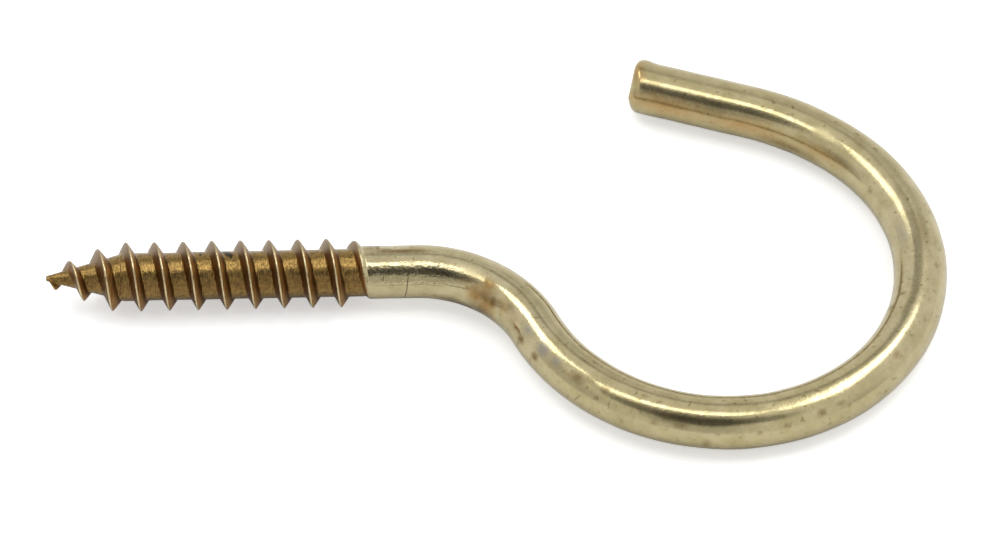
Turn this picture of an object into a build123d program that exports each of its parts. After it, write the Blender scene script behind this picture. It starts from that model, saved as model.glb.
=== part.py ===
from build123d import *

import os
from math import ceil, cos, pi, sin

# A cup hook: one length of round wire with a wood-screw thread and a gimlet point rolled on one end,
# bent to one side and back round into an open loop, and cut square at the free tip.
#
# Frame: the screw axis is X and points towards the loop, the hook lies in the XY plane, and the
# origin is on the screw axis where the thread ends and the plain shank begins. Sizes are in mm.

# The bent wire, along its centre line from the end of the thread to the free tip.
wire_diameter = 4.0
shank_length = 3.88
offset_bend_radius = 9.4
offset_bend_angle = 67.7
loop_radius = 15.28
loop_angle = 205.7
mouth_bend_radius = 19.5
mouth_bend_angle = 23.2
tip_length = 9.2
tip_edge_radius = 0.5

# The thread: a right-hand ridge with a narrow flat crest, round a core thinner than the wire.
thread_length = 23.9
thread_pitch = 2.15
crest_diameter = 5.23
root_diameter = 3.59
crest_land = 0.18
ridge_base_width = 1.25
tip_crest_angle = 111.0

# The gimlet point: the crest and the core run down to a small blunt end, each on its own taper.
point_diameter = 0.37
point_crest_diameter = 1.27
core_taper_length = 5.85
crest_taper_length = 4.98
crest_blend = 0.25
ridge_lead_in = 0.2
ridge_rise_length = 0.7

# The run-out: a short shoulder leads from the core up to the wire, and the ridge sinks into it.
shoulder_length = 0.6
run_out_length = 1.7
run_out_overlap = 0.1

# The ridge is rooted below the core's surface by a share of the core's radius, and it is lofted one
# turn at a time, through sections set round the helix.
root_sink_share = 0.07
sections_per_turn = 7

wire_radius = wire_diameter / 2
crest_radius = crest_diameter / 2
root_radius = root_diameter / 2
point_radius = point_diameter / 2
point_crest_radius = point_crest_diameter / 2
flank_slope = (ridge_base_width - crest_land) / 2 / (crest_radius - root_radius)


def ease(share):
    """Go from 0 to 1 with a level start and a level end, and stay there outside that range."""
    inside = min(max(share, 0), 1)
    return inside * inside * (3 - 2 * inside)


def full_crest_at(along):
    """Radius of the crest before its ends are faded: a straight taper with a soft corner at its top."""
    rising = point_crest_radius + (crest_radius - point_crest_radius) * along / crest_taper_length
    nearness_share = max(crest_blend - abs(crest_radius - rising), 0) / crest_blend
    return min(rising, crest_radius) - nearness_share**2 * crest_blend / 4


def core_at(along):
    """Radius of the core at a distance from the point."""
    return min(point_radius + (root_radius - point_radius) * along / core_taper_length, root_radius)


def crest_at(along):
    """Radius of the ridge's crest: it rises at the point and sinks to the core at the run-out."""
    core = core_at(along)
    risen_share = ease(along / ridge_rise_length)
    sunk_share = ease((along - thread_length + run_out_length) / (run_out_length + run_out_overlap))
    return core + (full_crest_at(along) - core) * risen_share * (1 - sunk_share)


def ridge_outline(along):
    """Corners of the ridge's section in a plane through the axis, as (axial offset, radius)."""
    core = core_at(along)
    crest = crest_at(along)
    sink = core * root_sink_share
    height = min(max(crest - core, 0), crest_radius - root_radius)
    half_land = crest_land / 2
    half_base = half_land + (height + sink) * flank_slope
    return [
        (-half_base, core_at(along - half_base) - sink),
        (-half_land, crest),
        (half_land, crest),
        (half_base, core_at(along + half_base) - sink),
    ]


def ridge_plane(along):
    """The plane through the axis that holds the ridge's section, turned along the helix."""
    turn = tip_crest_angle * pi / 180 + 2 * pi * along / thread_pitch
    return Plane(
        origin=(along - thread_length, 0, 0),
        x_dir=(1, 0, 0),
        z_dir=(0, -sin(turn), cos(turn)),
    )


def ridge_piece(first, last):
    """One turn or less of the ridge, between two distances from the point."""
    with BuildPart() as piece:
        for section in range(sections_per_turn + 1):
            along = first + (last - first) * section / sections_per_turn
            with BuildSketch(ridge_plane(along)):
                with BuildLine():
                    Polyline(*ridge_outline(along), close=True)
                make_face()
        loft()
    return piece.part


# The ridge of the thread, turn by turn from the point to the run-out.
ridge_length = thread_length + run_out_overlap - ridge_lead_in
turn_count = ceil(ridge_length / thread_pitch)
turn_ends = [ridge_lead_in + ridge_length * turn / turn_count for turn in range(turn_count + 1)]
ridge_turns = [ridge_piece(first, last) for first, last in zip(turn_ends, turn_ends[1:])]

# The whole hook: the core turned round the screw axis, the wire swept round its bends, and the ridge.
with BuildPart() as cup_hook:
    with BuildSketch(Plane.XY):
        with BuildLine():
            Polyline(
                (-thread_length, 0),
                (-thread_length, point_radius),
                (core_taper_length - thread_length, root_radius),
                (-shoulder_length, root_radius),
                (0, wire_radius),
                (0, 0),
                close=True,
            )
        make_face()
    revolve(axis=Axis.X)

    with BuildLine() as centre_line:
        shank = Line((0, 0), (shank_length, 0))
        offset_bend = JernArc(shank @ 1, shank % 1, offset_bend_radius, -offset_bend_angle)
        loop = JernArc(offset_bend @ 1, offset_bend % 1, loop_radius, loop_angle)
        mouth_bend = JernArc(loop @ 1, loop % 1, mouth_bend_radius, mouth_bend_angle)
        tip = Line(mouth_bend @ 1, (mouth_bend @ 1) + (mouth_bend % 1) * tip_length)
    with BuildSketch(Plane.YZ):
        Circle(wire_radius)
    sweep(path=centre_line.line)

    cut_end = cup_hook.faces().sort_by_distance(tip @ 1)[0]
    fillet(cut_end.edges(), tip_edge_radius)

    add(ridge_turns)

cup_hook.part.label = "cup_hook"

os.makedirs("parts", exist_ok=True)
export_step(cup_hook.part, "parts/cup_hook.step")

print(f"cup_hook: {cup_hook.part.volume:.1f} mm3, {cup_hook.part.bounding_box().size}")
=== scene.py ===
# %% [markdown]
# # A brass cup hook
# A cup hook is one length of brass wire. A wood-screw thread is rolled on one end, and the other end is
# bent to one side and back round into an open loop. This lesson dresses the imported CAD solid: it keeps
# the solid's size and place, and adds the worn thread, the cut tip and the tarnish that CAD leaves out.

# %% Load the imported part
import math

import bpy
import numpy as np
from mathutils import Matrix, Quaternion, Vector


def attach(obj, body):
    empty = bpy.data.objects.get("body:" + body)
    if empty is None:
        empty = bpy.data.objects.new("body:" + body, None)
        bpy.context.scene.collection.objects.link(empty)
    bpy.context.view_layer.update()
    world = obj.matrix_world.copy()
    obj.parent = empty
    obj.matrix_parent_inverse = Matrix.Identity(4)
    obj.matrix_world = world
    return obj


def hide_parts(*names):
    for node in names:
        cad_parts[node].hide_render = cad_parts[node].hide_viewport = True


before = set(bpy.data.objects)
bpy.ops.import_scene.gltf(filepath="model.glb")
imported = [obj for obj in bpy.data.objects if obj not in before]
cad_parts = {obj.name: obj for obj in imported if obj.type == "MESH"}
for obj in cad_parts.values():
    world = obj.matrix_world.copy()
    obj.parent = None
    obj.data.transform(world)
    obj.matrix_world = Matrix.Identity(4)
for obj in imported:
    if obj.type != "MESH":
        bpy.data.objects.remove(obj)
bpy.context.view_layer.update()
MM = 0.001

# %% [markdown]
# ## The camera
# The hook lies flat and is seen from in front and above, at about fifty degrees. A long lens from far off
# leaves almost no perspective. The camera is set by two angles, a small roll, a distance and the point it
# looks at, so each number can be changed by itself.

# %% Camera
elevation = math.radians(49.6)
azimuth = math.radians(-6.3)
roll = Quaternion((0.0, 0.0, 1.0), math.radians(3.69))
looks_at = Vector((10.26, 0.18, 0.0)) * MM
distance = 0.8
towards_camera = Vector((
    math.sin(azimuth) * math.cos(elevation),
    -math.cos(azimuth) * math.cos(elevation),
    math.sin(elevation),
))
camera = bpy.data.objects.new("camera", bpy.data.cameras.new("camera"))
camera.data.sensor_width = 36.0
camera.data.lens = 382.8
camera.data.clip_start = 0.01
camera.location = looks_at + towards_camera * distance
camera.rotation_euler = (towards_camera.to_track_quat("Z", "Y") @ roll).to_euler()
bpy.context.scene.collection.objects.link(camera)
bpy.context.scene.camera = camera
bpy.context.scene.view_settings.view_transform = "Standard"
print("camera at", [round(value, 3) for value in camera.location])

# %% [markdown]
# ## The bent wire
# The wire is a tube, so it could be a curve with a round bevel. A curve can't carry a thread, though, so
# the whole hook is one grid instead: rings of points along the centre line, from the screw point to the
# tip. The centre line is the CAD one, straight runs and arcs, measured in mm from the end of the thread.

# %% Centre line
wire_radius = 2.0
thread_length = 23.9
bends = [  # length in mm, and turn to the left in degrees
    (3.88, 0.0),
    (9.4 * math.radians(67.7), -67.7),
    (15.28 * math.radians(205.7), 205.7),
    (19.5 * math.radians(23.2), 23.2),
    (9.2, 0.0),
]
wire_length = sum(length for length, turn in bends)


def centre_line(along):
    """Place and heading of the wire's centre at distances along it."""
    x = np.minimum(along, 0.0)
    y = np.zeros_like(along)
    heading = np.zeros_like(along)
    begun, begun_heading = 0.0, 0.0
    for length, turn in bends:
        step = np.clip(along - begun, 0.0, length)
        if turn:
            rate = math.radians(turn) / length
            x += (np.sin(begun_heading + rate * step) - math.sin(begun_heading)) / rate
            y -= (np.cos(begun_heading + rate * step) - math.cos(begun_heading)) / rate
            heading += rate * step
        else:
            x += math.cos(begun_heading) * step
            y += math.sin(begun_heading) * step
        begun += length
        begun_heading += math.radians(turn)
    return x, y, heading


print("plain wire, mm:", round(wire_length, 2))

# %% [markdown]
# ## The rings
# The thread needs rings closer than its crest is wide, about a twentieth of a millimetre. The first part of
# the wire, where most of the stains lie, has them almost as close, and the rest needs fewer. The cut tip has
# rings round its worn edge and in to the middle of the end face. Each ring has the same number of points.

# %% Rings
around_count = 88
pitch = 2.15
run_out_end = 1.4
stained_end = 24.0
tip_edge = 0.42
edge_turns = np.radians(np.linspace(11.25, 90.0, 8))
thread_rings = np.arange(0.03, thread_length + run_out_end, pitch / 42) - thread_length
stained_rings = np.arange(run_out_end, stained_end, 0.085)
wire_rings = np.linspace(stained_end, wire_length - tip_edge, 270)
edge_rings = wire_length - tip_edge + tip_edge * np.sin(edge_turns)
face_radii = np.linspace(wire_radius - tip_edge, 0.0, 8)[1:-1]
ring_along = np.concatenate([
    thread_rings, stained_rings, wire_rings, edge_rings, np.full(len(face_radii), wire_length),
])
around = np.linspace(-math.pi, math.pi, around_count, endpoint=False)
along, turn = np.meshgrid(ring_along, around, indexing="ij")
print("rings:", len(ring_along), "points round each:", around_count)

# %% [markdown]
# ## The thread
# The thread is one helical ridge round a core. At each point of the grid it is enough to know how far the
# nearest crest is along the axis: the ridge is highest there, and falls away on straight flanks, the one
# towards the point steeper. A soft maximum in place of a hard one leaves a small fillet at each root. The
# crest's height wavers a little, as a rolled and used thread does, and the last turn is blunter.

# %% Thread
root_radius = 1.795
crest_height = 0.82
full_crest = root_radius + crest_height
crest_round, crest_blend = 0.045, 0.25
crest_waver = 0.018
blunt_round, blunt_before_end = 0.22, 1.7
left_run, right_run = 0.53, 0.66  # along the axis for each mm of height
sink_before_end, sink_length = 1.13, 1.83
point_rise = 0.7
point_radius = 0.185
core_taper = 5.85
crest_taper = 4.98
point_crest_radius = 0.635
tip_crest_angle = 111.0


def ease(share):
    """Go from 0 to 1 with a level start and end."""
    inside = np.clip(share, 0.0, 1.0)
    return inside * inside * (3.0 - 2.0 * inside)


def soft_max(first, second, blend):
    """The larger of two values, with a rounded change from one to the other."""
    near = np.maximum(blend - np.abs(first - second), 0.0) / blend
    return np.maximum(first, second) + near * near * blend / 4.0


def core_radius(from_point):
    """Radius of the core: a cone at the point, then a cylinder."""
    return np.minimum(point_radius + (root_radius - point_radius) * from_point / core_taper, root_radius)


def ridge_height(from_point):
    """Height of the crest above the core: it rises at the point and sinks at the run-out."""
    rising = point_crest_radius + (full_crest - point_crest_radius) * from_point / crest_taper
    crest = -soft_max(-rising, np.full_like(rising, -full_crest), crest_blend)
    sunk = np.clip((from_point - thread_length + sink_before_end) / sink_length, 0.0, 1.0)
    return (crest - core_radius(from_point)) * ease(from_point / point_rise) * (1.0 - sunk)


from_point = along + thread_length
cad_angle = np.degrees(math.pi / 2 - turn)
first_crest = pitch * (cad_angle - tip_crest_angle) / 360.0
off_crest = (from_point - first_crest + pitch / 2) % pitch - pitch / 2
crest_here = from_point - off_crest
height_here = ridge_height(crest_here)
helix_turn = crest_here / pitch * 2.0 * math.pi
waver = 1.0 + np.sin(3.1 * helix_turn + 0.7) * np.sin(0.83 * helix_turn)
height_here -= crest_waver * height_here * waver
round_here = crest_round + blunt_round * ease(crest_here - thread_length + blunt_before_end)
flank_run = np.where(off_crest < 0.0, left_run, right_run)
flank_fall = (np.hypot(off_crest, round_here) - round_here) / flank_run
print("crests stand up to", round(float(height_here.max()), 2), "mm above the core")

# %% [markdown]
# The groove ends where the rolling die left the wire. The ridge sinks over its last turn, and beyond it the
# wire has its full thickness, so the shoulder is no straight collar but one more flank, along the helix,
# with a rounded lip.

# %% Run-out
fill_before_end, fill_length = 1.56, 0.86
root_blend = 0.1
shoulder_turns = 11
shoulder_from = 20.0  # degrees round the axis: short of it, the ridge itself runs out into the wire
lip_round, shoulder_run = 0.14, 0.5
crest_before = from_point - (from_point - first_crest) % pitch
filled = ease((crest_before - thread_length + fill_before_end) / fill_length)
core = core_radius(from_point)
ground = core + (wire_radius - core) * filled
ridge = soft_max(height_here - flank_fall, np.zeros_like(along), root_blend)
relief = np.maximum(ridge + core, ground)
to_shoulder = first_crest + pitch * shoulder_turns - from_point
lip = np.maximum(to_shoulder + lip_round, 0.0)
shoulder = wire_radius - (np.hypot(lip, lip_round) - lip_round) / shoulder_run
has_shoulder = cad_angle > shoulder_from
relief = np.where(has_shoulder, np.maximum(relief, shoulder), relief)
relief = np.where(along < run_out_end, relief, wire_radius)
threaded = np.where(has_shoulder & (to_shoulder < 0.0), 0.0, 1.0 - filled) * (along < run_out_end)
print("share of the points in the thread:", round(float(threaded.mean()), 2))

# %% [markdown]
# ## The surface of the grid
# Drawn and bent wire is never quite round, and that shows as a wavering highlight. A few long waves of a
# hundredth of a millimetre, from a fixed seed, do it in the shape itself.

# %% Surface
wave_height = 0.0022
waves = np.random.default_rng(11)
ripple = np.zeros_like(along)
for wave in range(14):
    length_mm = waves.uniform(2.5, 9.0)
    lobes = waves.integers(0, 4)
    phase = waves.uniform(0.0, 2.0 * math.pi)
    ripple += wave_height * np.sin(2.0 * math.pi * along / length_mm + lobes * turn + phase)

radius = relief + ripple * ease(from_point / 3.0)
edge_count, face_count = len(edge_rings), len(face_radii)
radius[-edge_count - face_count:-face_count] -= tip_edge * (1.0 - np.cos(edge_turns))[:, None]
radius[-face_count:] = face_radii[:, None]
print("wire waver, mm:", round(float(np.abs(ripple).max()), 4))

# %% [markdown]
# ## The cut tip
# The wire was cut off and the cut was dulled. The cutter left a low burr on one side, one corner is knocked
# back, and the edge is worn rounder on the upper front. The burr adds to the radius. The other two set the
# end back, point by point, and the last few millimetres of rings close up to make room.

# %% Tip
burr_height, burr_back, burr_length = 0.1, 0.75, 0.45
burr_turn, burr_spread = math.radians(-50.0), 0.5
knocked, knocked_from, knocked_slope = math.radians(118.0), 1.25, 0.5
dulled, dulled_from, dulled_depth = math.radians(40.0), 1.0, 0.45
cut_slant = 0.05
closing_from, closing_length = 3.0, 2.5
from_tip = wire_length - along
radius += burr_height * np.exp(
    -((from_tip - burr_back) / burr_length) ** 2 - ((turn - burr_turn) / burr_spread) ** 2
)
side = radius * np.sin(turn)
up = radius * np.cos(turn)
beyond = np.maximum(side * math.sin(knocked) + up * math.cos(knocked) - knocked_from, 0.0)
dull = np.maximum(side * math.sin(dulled) + up * math.cos(dulled) - dulled_from, 0.0)
set_back = knocked_slope * beyond + dulled_depth * dull**2 + cut_slant * (side / wire_radius + 1.0)
place_along = along - set_back * ease((closing_from - from_tip) / closing_length)
x, y, heading = centre_line(place_along)
points = np.stack([x - side * np.sin(heading), y + side * np.cos(heading), up], axis=-1)
print("the end is set back by up to", round(float(set_back[-1 - face_count].max()), 2), "mm")

# %% [markdown]
# ## The mesh
# The grid closes round itself, and a fan of triangles closes each end, so the mesh is watertight. A UV
# map unrolls it in millimetres, along the wire and round it from the top, which lets a pattern follow the
# wire round its bends.

# %% Mesh
ring_count = len(ring_along)
index = np.arange(ring_count * around_count).reshape(ring_count, around_count)
after = np.roll(index, -1, axis=1)
quads = np.stack([index[:-1], index[1:], after[1:], after[:-1]], axis=-1).reshape(-1, 4)
point_end, tip_end = ring_count * around_count, ring_count * around_count + 1
point_fan = np.stack([index[0], after[0], np.full(around_count, point_end)], axis=-1)
tip_fan = np.stack([after[-1], index[-1], np.full(around_count, tip_end)], axis=-1)
tip_x, tip_y, tip_heading = centre_line(np.array([wire_length - cut_slant]))
ends = [(-thread_length, 0.0, 0.0), (tip_x[0], tip_y[0], 0.0)]
vertices = np.concatenate([points.reshape(-1, 3), ends]) * MM

hook_mesh = bpy.data.meshes.new("brass_hook")
hook_mesh.from_pydata(vertices.tolist(), [], quads.tolist() + point_fan.tolist() + tip_fan.tolist())
hook_mesh.shade_smooth()
hook = bpy.data.objects.new("brass_hook", hook_mesh)
bpy.context.scene.collection.objects.link(hook)

unrolled = hook_mesh.uv_layers.new(name="unrolled")
corner_around = np.append(around, math.pi) * wire_radius
low, high = corner_around[:-1], corner_around[1:]
pair_shape = (ring_count - 1, around_count, 2)
ring_pairs = np.broadcast_to(np.stack([ring_along[:-1], ring_along[1:]], -1)[:, None], pair_shape)
turn_pairs = np.broadcast_to(np.stack([low, high], -1)[None], pair_shape)
quad_uv = np.stack([
    np.stack([ring_pairs[..., ring_end], turn_pairs[..., turn_end]], -1)
    for ring_end, turn_end in ((0, 0), (1, 0), (1, 1), (0, 1))
], axis=2)
first, last = np.full(around_count, ring_along[0]), np.full(around_count, wire_length)
point_uv = np.stack([np.stack([first, edge], -1) for edge in (low, high, low)], axis=1)
tip_uv = np.stack([np.stack([last, edge], -1) for edge in (high, low, low)], axis=1)
corner_uv = np.concatenate([part.reshape(-1, 2) for part in (quad_uv, point_uv, tip_uv)])
unrolled.uv.foreach_set("vector", corner_uv.astype(np.float32).ravel())
print("faces:", len(hook_mesh.polygons))

# %% [markdown]
# ## Where the tarnish and the painted light lie
# The brass has stained in single places: brown spots and streaks, a few grey films and an orange bloom at
# the first bend. Not every mark is a stain. The orange mark on the rim of the cut end is a painted
# highlight, and the long orange marks low on the front of the tip are partly tarnish and partly a painted
# reflection of the shaded table. The long brown streak along the bottom of the loop and the dark marks under
# the first bend only darken the wire there. Dark dirt sits in the thread, and the bending tools rubbed the
# bends dull. Each mark is a soft ellipse, given by its place along and round the wire and its half sizes,
# all in mm. The masks are stored on the points, and the finish breaks up their edges.

# %% Marks
brown_marks = [  # along, around, half length, half width, depth
    # (30.00, -1.30) browns a long streak along the bottom of the loop.
    (2.80, 0.38, 1.80, 0.20, 1.0), (30.00, -1.30, 4.50, 0.30, 0.45), (1.50, 0.50, 0.70, 0.22, 0.8),
    (1.02, 1.15, 0.14, 0.50, 1.0), (0.45, 1.00, 0.60, 0.60, 0.6), (8.60, -1.95, 0.35, 0.14, 0.6),
    (9.90, -0.85, 0.16, 0.18, 0.9), (9.67, -2.41, 0.70, 0.55, 0.6), (10.57, -2.20, 0.90, 0.40, 0.8),
    (11.38, -2.06, 0.45, 0.40, 1.0),
    # (10.30, -3.40), (7.10, -3.75) and (8.60, -4.10) darken the underside of the first bend.
    (10.03, -0.98, 0.22, 0.14, 0.9), (10.50, -1.60, 1.10, 0.85, 0.45), (10.30, -3.40, 1.30, 0.80, 0.75),
    (8.10, -1.50, 1.00, 0.30, 0.6), (9.20, -1.70, 0.70, 0.40, 0.5), (11.90, -1.75, 0.80, 0.35, 0.5),
    (7.10, -3.75, 1.30, 0.50, 0.7), (8.60, -4.10, 2.00, 0.50, 0.8), (5.60, -3.55, 0.30, 0.20, 0.6),
    (15.95, -2.33, 0.30, 0.30, 0.95), (17.66, -2.36, 0.30, 0.30, 0.95), (14.99, -2.34, 0.22, 0.16, 0.45),
    (15.80, -2.90, 0.12, 0.40, 0.6), (17.40, -3.00, 0.12, 0.40, 0.6), (13.10, -1.35, 0.50, 0.25, 0.5),
    (20.00, -1.54, 0.75, 0.25, 0.45), (21.35, -1.35, 0.55, 0.40, 0.8), (22.20, -0.98, 0.38, 0.28, 0.55),
    (23.60, -1.12, 0.38, 0.30, 0.6), (9.43, 1.40, 0.40, 0.20, 0.7), (10.45, 1.47, 0.45, 0.20, 0.7),
    (13.88, 1.19, 0.25, 0.14, 0.7), (12.44, 0.94, 0.14, 0.14, 0.6), (16.73, 1.22, 0.14, 0.14, 0.6),
    (26.36, -0.35, 0.26, 0.18, 0.65), (26.00, -1.15, 1.60, 0.18, 0.5), (28.28, -1.40, 0.45, 0.30, 0.8),
    (27.53, -2.16, 0.24, 0.24, 0.6), (29.30, -1.95, 0.50, 0.30, 0.6), (31.15, -3.40, 0.32, 0.60, 0.65),
    (31.79, -2.27, 0.16, 0.15, 0.5), (32.25, 0.52, 0.16, 0.15, 0.6), (34.58, -0.10, 0.18, 0.15, 0.5),
    (34.67, -2.30, 0.22, 0.20, 0.6), (36.53, -2.05, 0.22, 0.22, 0.6), (39.17, -1.80, 0.30, 0.26, 0.8),
    (40.65, -1.66, 0.40, 0.20, 0.6), (46.40, -1.10, 0.26, 0.22, 0.5), (50.37, -1.33, 0.24, 0.20, 0.5),
    (50.75, 1.90, 0.32, 0.24, 0.8), (52.15, 1.20, 0.20, 0.34, 0.75), (53.04, -1.29, 0.16, 0.30, 0.5),
    (55.44, -1.18, 0.22, 0.20, 0.7), (58.60, -0.20, 2.40, 0.50, 0.45), (64.45, 2.15, 0.28, 0.24, 0.65),
    (68.40, 2.00, 1.80, 0.30, 0.6), (71.53, -0.10, 0.30, 0.16, 0.4), (73.30, 3.25, 2.40, 0.40, 0.75),
    (85.60, 1.60, 0.80, 0.35, 0.45), (83.93, 2.10, 1.80, 0.35, 0.4), (80.50, 2.00, 2.60, 0.30, 0.4),
]
grey_marks = [
    (15.95, -1.33, 0.50, 0.44, 0.75), (17.90, -1.40, 0.50, 0.46, 1.0), (19.31, -1.40, 0.46, 0.40, 0.8),
    (58.74, 1.33, 1.60, 0.60, 0.5), (13.34, -1.50, 0.60, 0.30, 0.5), (54.15, 0.94, 1.20, 0.40, 0.35),
    # (8.60, -4.30) greys the underside of the first bend.
    (8.60, -4.30, 2.40, 0.60, 0.8),
]
bloom_and_painted_light_marks = [
    (9.55, -2.20, 0.90, 0.60, 1.0), (10.39, -1.05, 0.45, 0.35, 1.0), (10.87, -2.60, 0.90, 0.70, 0.9),
    # (86.64, 0.21) is an orange highlight painted on the rim of the cut end, not a stain.
    (10.20, -1.70, 1.30, 0.90, 0.65), (86.64, 0.21, 0.45, 1.10, 0.75), (20.63, -1.57, 0.60, 0.30, 0.4),
    (46.47, -1.08, 0.45, 0.32, 0.5), (12.60, -1.80, 1.20, 0.55, 0.55), (14.20, -1.70, 0.90, 0.50, 0.45),
    # The three long orange marks low on the front of the tip, from 70.5 to 83.8 mm, are partly tarnish and
    # partly a painted reflection of the shaded table.
    (83.80, 2.50, 3.20, 0.90, 0.8), (77.50, 2.60, 3.60, 0.70, 0.75), (70.50, 2.40, 2.60, 0.60, 0.6),
]
dull_marks = [
    (71.05, 1.05, 0.70, 0.60, 1.0), (8.30, -0.55, 1.20, 0.50, 0.8), (63.00, 1.10, 4.00, 1.40, 0.33),
]
grime_marks = [
    (-10.28, 0.95, 0.18, 0.45, 1.0), (-10.05, 0.50, 0.12, 0.30, 0.9), (-10.50, 1.30, 0.16, 0.26, 1.0),
    (-12.30, 0.75, 0.12, 0.30, 0.6), (-6.40, 0.90, 0.12, 0.25, 0.5),
]


def store(name, values):
    """Keep one number per point of the hook for its finish; the two end points take the rings' values."""
    kept = np.concatenate([values.ravel(), [values[0, 0], values[-1, 0]]]).astype(np.float32)
    hook_mesh.attributes.new(name, "FLOAT", "POINT").data.foreach_set("value", kept)


def mask_of(marks):
    """The deepest of several soft ellipses at each point: 1 in the middle, 0 at twice the half size."""
    mask = np.zeros_like(along)
    for at, beside, half_length, half_width, depth in marks:
        apart = np.hypot((along - at) / half_length, (turn * wire_radius - beside) / half_width)
        mask = np.maximum(mask, depth * np.clip(1.0 - apart / 2.0, 0.0, 1.0))
    return mask


all_marks = {
    "brown": brown_marks, "grey": grey_marks, "bloom_and_painted_light": bloom_and_painted_light_marks, "grime": grime_marks, "dull": dull_marks,
}
for name, marks in all_marks.items():
    store(name, mask_of(marks))
    print(name, "marks:", len(marks))

# %% [markdown]
# Other masks follow the shape. Some tell the thread's roots, flanks and crests apart. The thread is darker
# and browner on its near, lower side, partly tarnish and partly painted shade, and paler and greyer on the
# far side, partly tarnish and partly a painted sheen. The wire has yellowed along the bottom of the loop and
# towards the tip.

# %% Masks from the shape
loop_bottom = ease((along - 15.0) / 6.0) * (1.0 - ease((along - 40.0) / 8.0))
towards_tip = ease((along - 62.0) / 8.0)
shape_masks = {  # turns are in radians, 0 on top
    "threaded": threaded,
    "off_crest": np.abs(off_crest),
    "right_side": np.where(off_crest > 0.0, 1.0, 0.0),
    "ridge": np.clip((height_here - flank_fall) / crest_height, 0.0, 1.0),
    "height": np.clip(height_here / crest_height, 0.0, 1.0),
    # far_side: the flanks are painted paler and greyer here, partly tarnish and partly a painted sheen.
    "far_side": ease((turn + 0.05) / 0.45) * (turn < 2.2),
    # near_side: the roots are painted darker here, partly tarnish and partly painted shade.
    "near_side": ease(1.0 - np.abs(turn + 1.15) / 0.6),
    "yellowed": loop_bottom + towards_tip,
}
for name, values in shape_masks.items():
    store(name, values)
print("masks from the shape:", ", ".join(shape_masks))

# %% [markdown]
# ## Tarnished drawn brass
# The wire is yellow brass, drawn through a die, so it is smooth and bright with fine lines along it. Brass
# is a metal, so its colour is the colour of its reflections: metallic is 1, the IOR stays at its default,
# and the finish lies in small changes of colour and roughness. The thread was rolled, was never polished,
# and has tarnished to brown in its roots and on its flanks, with its crests rubbed bright.

# %% Colour and node helpers
def colour(code):
    """An sRGB hex value as linear red, green, blue and alpha."""
    shares = [int(code[start:start + 2], 16) / 255.0 for start in (1, 3, 5)]
    linear = [s / 12.92 if s <= 0.04045 else ((s + 0.055) / 1.055) ** 2.4 for s in shares]
    return (*linear, 1.0)


def add(tree, kind, inputs, **settings):
    """Add a node with its settings, and set its inputs or link them to other nodes' outputs."""
    made = tree.nodes.new("ShaderNode" + kind)
    for name, value in settings.items():
        setattr(made, name, value)
    for name, value in inputs.items():
        if isinstance(value, bpy.types.NodeSocket):
            tree.links.new(value, made.inputs[name])
        else:
            made.inputs[name].default_value = value
    return made


# Drawn brass wire, bright on the plain wire and tarnished brown in the thread.
brass = bpy.data.materials.new("tarnished_drawn_brass")
brass.use_nodes = True
tree = brass.node_tree
shader = tree.nodes["Principled BSDF"]
object_place = add(tree, "TexCoord", {}).outputs["Object"]
in_mm = add(tree, "VectorMath", {0: object_place, "Scale": 1.0 / MM}, operation="SCALE").outputs[0]
unrolled_mm = add(tree, "UVMap", {}, uv_map="unrolled").outputs["UV"]
masks = {
    name: add(tree, "Attribute", {}, attribute_name=name).outputs["Fac"]
    for name in (*all_marks, *shape_masks)
}
print("finish:", brass.name)

# %% [markdown]
# The plain wire first. Its colour drifts between a pale and an olive brass over a millimetre or two, is
# yellower where that mask says so, and has soft brown specks of under half a millimetre.

# %% Wire colour
drift = add(
    tree, "TexNoise", {"Vector": in_mm, "Scale": 1.0 / 1.8, "Detail": 6.0, "Roughness": 0.7},
).outputs["Fac"]
drift_share = add(tree, "MapRange", {"Value": drift, "From Min": 0.35, "From Max": 0.7}).outputs["Result"]
wire_colour = add(
    tree, "Mix", {"Factor": drift_share, "A": colour("#C6BA95"), "B": colour("#AEA279")}, data_type="RGBA",
).outputs["Result"]
wire_colour = add(
    tree, "Mix", {"Factor": masks["yellowed"], "A": wire_colour, "B": colour("#F9F8F1")},
    data_type="RGBA", blend_type="MULTIPLY",
).outputs["Result"]
speck = add(tree, "TexNoise", {"Vector": in_mm, "Scale": 1.0 / 0.42, "Detail": 1.0}).outputs["Fac"]
speck_share = add(
    tree, "MapRange", {"Value": speck, "From Min": 0.66, "From Max": 0.76, "To Max": 0.55},
).outputs["Result"]
wire_colour = add(
    tree, "Mix", {"Factor": speck_share, "A": wire_colour, "B": colour("#7C6A3E")}, data_type="RGBA",
).outputs["Result"]
print("wire colours: pale brass and olive brass, with brown specks")

# %% [markdown]
# Each stain mask is compared with a fine noise, so a soft ellipse turns into a ragged spot with a speckled
# rim, as tarnish has.

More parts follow.
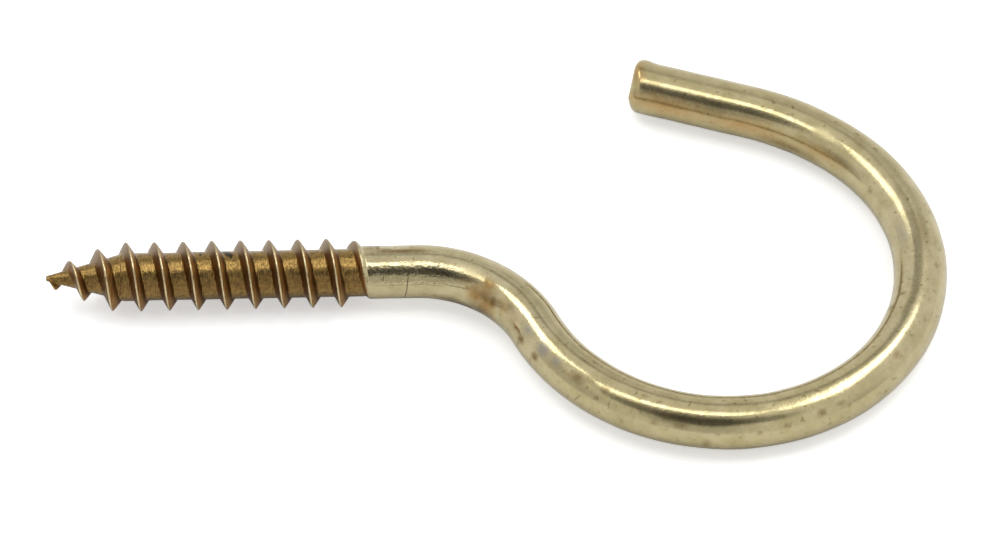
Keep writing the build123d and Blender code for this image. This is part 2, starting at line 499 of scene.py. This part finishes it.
# %% Stains
stain_and_light_colours = [  # mask, colour, and the most that it covers
    ("grey", "#928C84", 0.8),
    # The bloom mask also carries the painted highlight on the tip's rim and the painted reflection low on
    # the tip.
    ("bloom_and_painted_light", "#AA8148", 0.7),
    ("brown", "#6E542A", 0.8),
]
ragged = add(
    tree, "TexNoise", {"Vector": in_mm, "Scale": 1.0 / 0.22, "Detail": 4.0, "Roughness": 0.65},
).outputs["Fac"]
broken = add(tree, "Math", {0: ragged, 1: 0.6}, operation="ADD").outputs[0]
stained_and_painted_light = wire_colour
stain_and_light_shares = {}
for name, code, most in stain_and_light_colours:
    uneven = add(tree, "Math", {0: masks[name], 1: broken}, operation="MULTIPLY").outputs[0]
    stain_and_light_shares[name] = add(
        tree, "MapRange", {"Value": uneven, "From Min": 0.2, "From Max": 0.85, "To Max": most},
    ).outputs["Result"]
    stained_and_painted_light = add(
        tree, "Mix", {"Factor": stain_and_light_shares[name], "A": stained_and_painted_light, "B": colour(code)}, data_type="RGBA",
    ).outputs["Result"]
print("stains:", ", ".join(stain_and_light_shares))

# %% [markdown]
# A few scratches cross the wire near the thread. Each is a long thin box on the unrolled surface: a Mapping
# node moves and stretches it to a unit square, and a little noise keeps it from being ruler-straight.

# %% Scratches
scratches = [  # along and around at one end and at the other, half width in mm, and depth
    (3.20, -1.50, 2.96, -4.40, 0.05, 0.8),
    (0.10, -2.47, 7.00, -2.40, 0.035, 0.5),
    (6.20, -2.30, 9.20, -2.05, 0.05, 0.5),
    (1.34, -1.70, 1.30, -2.15, 0.05, 0.7),
    (7.10, -1.60, 8.60, -1.20, 0.04, 0.5),
    (22.10, -2.30, 21.60, -3.40, 0.06, 0.5),
]
sway_width = 0.16
sway = add(tree, "TexNoise", {"Vector": unrolled_mm, "Scale": 1.0 / 0.7, "Detail": 2.0}).outputs["Color"]
swayed = add(
    tree, "VectorMath", {0: sway, 1: (sway_width, sway_width, 0.0), 2: unrolled_mm},
    operation="MULTIPLY_ADD",
).outputs[0]
for first_along, first_around, last_along, last_around, half_width, depth in scratches:
    middle_along = (first_along + last_along) / 2 + sway_width / 2
    middle_around = (first_around + last_around) / 2 + sway_width / 2
    run, rise = last_along - first_along, last_around - first_around
    boxed = add(
        tree, "Mapping",
        {"Vector": swayed, "Location": (middle_along, middle_around, 0.0),
         "Rotation": (0.0, 0.0, math.atan2(rise, run)),
         "Scale": (math.hypot(run, rise) / 2, half_width, 1.0)},
        vector_type="TEXTURE",
    ).outputs["Vector"]
    out_of_middle = add(tree, "VectorMath", {0: boxed}, operation="ABSOLUTE").outputs[0]
    sides = add(tree, "SeparateXYZ", {"Vector": out_of_middle}).outputs
    outer = add(tree, "Math", {0: sides["X"], 1: sides["Y"]}, operation="MAXIMUM").outputs[0]
    cut = add(
        tree, "MapRange", {"Value": outer, "From Min": 1.0, "From Max": 0.5, "To Min": 0.0, "To Max": depth},
    ).outputs["Result"]
    stained_and_painted_light = add(
        tree, "Mix", {"Factor": cut, "A": stained_and_painted_light, "B": colour("#4A3A22")}, data_type="RGBA",
    ).outputs["Result"]
print("scratches:", len(scratches))

# %% [markdown]
# The thread is browner. Its roots are a golden bronze speckled with dark oxide. Its flanks are dark brown
# low down, and on the side away from the point they turn to gold towards the crest.

# %% Thread roots and flanks
oxide = add(
    tree, "TexNoise", {"Vector": in_mm, "Scale": 1.0 / 0.35, "Detail": 5.0, "Roughness": 0.7},
).outputs["Fac"]
oxide_share = add(tree, "MapRange", {"Value": oxide, "From Min": 0.42, "From Max": 0.68}).outputs["Result"]
root_colour = add(
    tree, "Mix", {"Factor": oxide_share, "A": colour("#967A46"), "B": colour("#665030")}, data_type="RGBA",
).outputs["Result"]
# On the near, lower side the roots turn darker brown: partly tarnish, partly painted shade.
near_tarnish_and_shade = add(tree, "Math", {0: masks["near_side"], 1: 0.45}, operation="MULTIPLY").outputs[0]
root_colour = add(
    tree, "Mix", {"Factor": near_tarnish_and_shade, "A": root_colour, "B": colour("#5C4228")}, data_type="RGBA",
).outputs["Result"]
upper_flank = add(
    tree, "MapRange", {"Value": masks["ridge"], "From Min": 0.2, "From Max": 0.6},
).outputs["Result"]
left_flank = add(
    tree, "Mix", {"Factor": upper_flank, "A": colour("#7E5426"), "B": colour("#7A5E40")}, data_type="RGBA",
).outputs["Result"]
right_flank = add(
    tree, "Mix", {"Factor": upper_flank, "A": colour("#5E3E18"), "B": colour("#B08650")}, data_type="RGBA",
).outputs["Result"]
flank_colour = add(
    tree, "Mix", {"Factor": masks["right_side"], "A": left_flank, "B": right_flank}, data_type="RGBA",
).outputs["Result"]
# On the far side the flanks turn a paler grey-brown: partly tarnish, partly a painted sheen.
flank_colour = add(
    tree, "Mix", {"Factor": masks["far_side"], "A": flank_colour, "B": colour("#8E795F")}, data_type="RGBA",
).outputs["Result"]
flank_share = add(
    tree, "MapRange", {"Value": masks["ridge"], "From Min": 0.0, "From Max": 0.16, "To Max": 0.9},
).outputs["Result"]
thread_colour = add(
    tree, "Mix", {"Factor": flank_share, "A": root_colour, "B": flank_colour}, data_type="RGBA",
).outputs["Result"]
print("thread colours: bronze roots, brown flanks")

# %% [markdown]
# The crest is rubbed back to pale metal in a narrow, ragged line, less on the far side and not where the
# ridge is low. The dirt lies over all of it.

# %% Thread crests and dirt
worn = add(tree, "Math", {0: ragged, 1: 0.09}, operation="MULTIPLY").outputs[0]
from_crest = add(tree, "Math", {0: masks["off_crest"], 1: worn}, operation="ADD").outputs[0]
crest_line = add(
    tree, "MapRange",
    {"Value": from_crest, "From Min": 0.07, "From Max": 0.125, "To Min": 1.0, "To Max": 0.0},
).outputs["Result"]
tall = add(tree, "MapRange", {"Value": masks["height"], "From Min": 0.3, "From Max": 0.6}).outputs["Result"]
rubbed = add(
    tree, "MapRange", {"Value": masks["far_side"], "To Min": 1.0, "To Max": 0.3},
).outputs["Result"]
crest_tall = add(tree, "Math", {0: crest_line, 1: tall}, operation="MULTIPLY").outputs[0]
crest_share = add(tree, "Math", {0: crest_tall, 1: rubbed}, operation="MULTIPLY").outputs[0]
thread_colour = add(
    tree, "Mix", {"Factor": crest_share, "A": thread_colour, "B": colour("#D8CBA0")}, data_type="RGBA",
).outputs["Result"]
grimy = add(
    tree, "MapRange", {"Value": masks["grime"], "From Min": 0.2, "From Max": 0.5, "To Max": 0.9},
).outputs["Result"]
thread_colour = add(
    tree, "Mix", {"Factor": grimy, "A": thread_colour, "B": colour("#1E1814")}, data_type="RGBA",
).outputs["Result"]
whole_colour = add(
    tree, "Mix", {"Factor": masks["threaded"], "A": stained_and_painted_light, "B": thread_colour}, data_type="RGBA",
).outputs["Result"]
tree.links.new(whole_colour, shader.inputs["Base Color"])
print("over them: pale crests and dark dirt")

# %% [markdown]
# Roughness follows the same story. The drawn shank is bright, the loop is a little duller and the tip duller
# again, stains and rubbed bends are dull, and so is the rolled thread, apart from its roots and crests.

# %% Roughness
along_wire = add(tree, "SeparateXYZ", {"Vector": unrolled_mm}).outputs["X"]
grain = add(
    tree, "TexNoise", {"Vector": in_mm, "Scale": 1.0 / 0.2, "Detail": 2.0, "Roughness": 0.6},
).outputs["Fac"]
loop_rough = add(
    tree, "MapRange",
    {"Value": along_wire, "From Min": 16.0, "From Max": 30.0, "To Min": 0.1, "To Max": 0.16},
).outputs["Result"]
tip_rough = add(
    tree, "MapRange", {"Value": along_wire, "From Min": 70.0, "From Max": 83.0, "To Max": 0.045},
).outputs["Result"]
grain_rough = add(
    tree, "MapRange", {"Value": grain, "From Min": 0.3, "From Max": 0.7, "To Min": -0.03, "To Max": 0.03},
).outputs["Result"]
uneven_tip = add(tree, "Math", {0: tip_rough, 1: grain_rough}, operation="ADD").outputs[0]
wire_rough = add(tree, "Math", {0: loop_rough, 1: uneven_tip}, operation="ADD").outputs[0]
stain_dull = add(
    tree, "Math", {0: stain_and_light_shares["grey"], 1: stain_and_light_shares["brown"]}, operation="MAXIMUM",
).outputs[0]
bend_dull = add(
    tree, "MapRange", {"Value": masks["dull"], "From Min": 0.1, "From Max": 0.7},
).outputs["Result"]
dullest = add(tree, "Math", {0: stain_dull, 1: bend_dull}, operation="MAXIMUM").outputs[0]
wire_rough = add(
    tree, "Mix", {"Factor": dullest, "A": wire_rough, "B": 0.36}, data_type="FLOAT",
).outputs["Result"]
thread_rough = add(
    tree, "Mix", {"Factor": flank_share, "A": 0.18, "B": 0.4}, data_type="FLOAT",
).outputs["Result"]
thread_rough = add(
    tree, "Mix", {"Factor": crest_share, "A": thread_rough, "B": 0.2}, data_type="FLOAT",
).outputs["Result"]
whole_rough = add(
    tree, "Mix", {"Factor": masks["threaded"], "A": wire_rough, "B": thread_rough}, data_type="FLOAT",
).outputs["Result"]
tree.links.new(whole_rough, shader.inputs["Roughness"])
shader.inputs["Metallic"].default_value = 1.0
print("roughness: wire about 0.1 to 0.2, stains 0.36, thread 0.18 to 0.4")

# %% [markdown]
# A very low bump carries the tool marks: lines along the wire from the drawing die, a grain that is coarser
# on the pitted shank, and lines round the thread from the rolling dies. Real ones are too fine to show in
# the picture, so all of them are drawn coarser, at about a tenth to a fifth of a millimetre.

# %% Bump
die_way = add(
    tree, "VectorMath", {0: unrolled_mm, 1: (0.12, 1.0 / 0.14, 1.0)}, operation="MULTIPLY",
).outputs[0]
die_lines = add(tree, "TexNoise", {"Vector": die_way, "Scale": 1.0, "Detail": 3.0}).outputs["Fac"]
faint_lines = add(tree, "Math", {0: die_lines, 1: 0.2}, operation="MULTIPLY").outputs[0]
pitted = add(
    tree, "MapRange", {"Value": along_wire, "From Min": 5.0, "From Max": 9.0, "To Min": 1.0, "To Max": 0.35},
).outputs["Result"]
pits = add(tree, "Math", {0: grain, 1: pitted}, operation="MULTIPLY").outputs[0]
rolled_way = add(
    tree, "VectorMath", {0: unrolled_mm, 1: (1.0 / 0.09, 0.6, 1.0)}, operation="MULTIPLY",
).outputs[0]
rolled_lines = add(tree, "TexNoise", {"Vector": rolled_way, "Scale": 1.0, "Detail": 2.0}).outputs["Fac"]
in_thread = add(tree, "Math", {0: masks["threaded"], 1: 3.5}, operation="MULTIPLY").outputs[0]
thread_lines = add(tree, "Math", {0: rolled_lines, 1: in_thread}, operation="MULTIPLY").outputs[0]
wire_surface = add(tree, "Math", {0: faint_lines, 1: pits}, operation="ADD").outputs[0]
surface = add(tree, "Math", {0: wire_surface, 1: thread_lines}, operation="ADD").outputs[0]
bump = add(tree, "Bump", {"Height": surface, "Strength": 1.0, "Distance": 0.02 * MM})
tree.links.new(bump.outputs["Normal"], shader.inputs["Normal"])
hook_mesh.materials.append(brass)
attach(hook, "root")
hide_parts("cup_hook")
print("hook points:", len(hook_mesh.vertices))

# %% [markdown]
# ## The table
# The hook lies on a white table. It touches at the last full crest of the thread and under the far side of
# the loop, so the table is level only if the hook tips by under a degree. The hook stays where the CAD put
# it, and the table takes the tilt.

# %% Table
loop_foot = vertices[vertices[:, 0] > 40.0 * MM]
loop_foot = loop_foot[np.argmin(loop_foot[:, 2])]
left = vertices[vertices[:, 0] < loop_foot[0] - 5.0 * MM]
slope = float(np.max((loop_foot[2] - left[:, 2]) / (loop_foot[0] - left[:, 0])))
table_half = 1.5
corners = [(sx * table_half, sy * table_half) for sx, sy in ((-1, -1), (1, -1), (1, 1), (-1, 1))]
table_mesh = bpy.data.meshes.new("table")
table_mesh.from_pydata(
    [(px, py, loop_foot[2] + slope * (px - loop_foot[0])) for px, py in corners], [], [(0, 1, 2, 3)],
)
table = bpy.data.objects.new("table", table_mesh)
bpy.context.scene.collection.objects.link(table)
# A matt white card, lifted towards white for the camera and a little in reflections.
white_card = bpy.data.materials.new("matt_white_card")
white_card.use_nodes = True
card_tree = white_card.node_tree
card = card_tree.nodes["Principled BSDF"]
card.inputs["Base Color"].default_value = colour("#EFEFEF")
card.inputs["Roughness"].default_value = 0.9
rays = add(card_tree, "LightPath", {}).outputs
reflected = add(
    card_tree, "Math", {0: rays["Is Glossy Ray"], 1: rays["Is Transmission Ray"]}, operation="MAXIMUM",
).outputs[0]
lift_reflected = add(card_tree, "Math", {0: reflected, 1: 0.05}, operation="MULTIPLY").outputs[0]
lift_seen = add(card_tree, "Math", {0: rays["Is Camera Ray"], 1: 0.45}, operation="MULTIPLY").outputs[0]
lift = add(card_tree, "Math", {0: lift_seen, 1: lift_reflected}, operation="ADD").outputs[0]
card_tree.links.new(lift, card.inputs["Emission Strength"])
card.inputs["Emission Color"].default_value = colour("#FFFFFF")
table_mesh.materials.append(white_card)
print("table tilt in degrees:", round(math.degrees(math.atan(slope)), 2))

# %% [markdown]
# ## The light
# Bright metal shows its surroundings, so the room matters as much as the lamps. Three soft boxes hang level
# above the hook: left, right and a strip overhead. The room is white, with a few darker patches, and the
# darkest is on the side where the camera stands. It draws the dark line along the wire.

# %% Soft boxes
hung_at = 0.5
above_x = 15.0 * MM
soft_boxes = [  # name, left, right, front and back edge as shares of the height, and brightness
    ("left_box", -0.88, -0.42, 0.16, 0.74, 2.8),
    ("right_box", 0.30, 0.62, -0.10, 0.62, 3.6),
    ("top_strip", -0.50, 0.20, -0.20, 0.0, 2.6),
]
for name, left_edge, right_edge, front_edge, back_edge, bright in soft_boxes:
    lamp = bpy.data.lights.new(name, "AREA")
    lamp.shape = "RECTANGLE"
    lamp.size = (right_edge - left_edge) * hung_at
    lamp.size_y = (back_edge - front_edge) * hung_at
    lamp.energy = bright * math.pi * lamp.size * lamp.size_y
    box = bpy.data.objects.new(name, lamp)
    box.location = (
        above_x + (left_edge + right_edge) / 2 * hung_at, (front_edge + back_edge) / 2 * hung_at, hung_at,
    )
    box.visible_camera = False
    bpy.context.scene.collection.objects.link(box)
    print(name, "at", [round(value, 2) for value in box.location], "watts", round(lamp.energy, 2))

# %% Room
def way_to(bearing, height):
    """The direction at a bearing in degrees, 0 in front and 90 to the right, and a height in degrees."""
    level = math.cos(math.radians(height))
    return Vector((
        math.sin(math.radians(bearing)) * level,
        -math.cos(math.radians(bearing)) * level,
        math.sin(math.radians(height)),
    ))


room = bpy.data.worlds.new("white_room")
bpy.context.scene.world = room
room.use_nodes = True
walls = room.node_tree
way = add(walls, "TexCoord", {}).outputs["Generated"]
room_patches = [  # bearing, height, inner and outer reach in degrees, and how bright the middle is
    (-9.0, 47.0, 10.0, 21.0, 0.17),
    (-37.0, 52.0, 9.0, 19.0, 0.3),
    (20.0, 53.0, 8.0, 17.0, 0.38),
    (-10.0, 66.0, 8.0, 13.0, 0.32),
    (-8.0, 20.0, 6.0, 28.0, 0.7),
    (-28.0, 30.0, 4.0, 14.0, 0.7),
    (-163.0, 45.0, 3.0, 11.0, 0.45),
    (178.0, 47.0, 3.0, 10.0, 0.5),
    (155.0, 31.0, 5.0, 18.0, 0.78),
    (-68.0, 12.0, 4.0, 24.0, 0.75),
    (62.0, 10.0, 3.0, 14.0, 0.8),
]
brightness = 0.93
for bearing, height, inner, outer, middle in room_patches:
    facing = add(
        walls, "VectorMath", {0: way, 1: way_to(bearing, height)}, operation="DOT_PRODUCT",
    ).outputs["Value"]
    reach_out, reach_in = math.cos(math.radians(outer)), math.cos(math.radians(inner))
    share = add(
        walls, "MapRange",
        {"Value": facing, "From Min": reach_out, "From Max": reach_in, "To Min": 1.0, "To Max": middle},
        interpolation_type="SMOOTHSTEP",
    ).outputs["Result"]
    brightness = add(walls, "Math", {0: brightness, 1: share}, operation="MULTIPLY").outputs[0]
walls.links.new(brightness, walls.nodes["Background"].inputs["Strength"])
walls.nodes["Background"].inputs["Color"].default_value = colour("#FFFFFF")
print("room:", room.name, "with", len(room_patches), "patches")
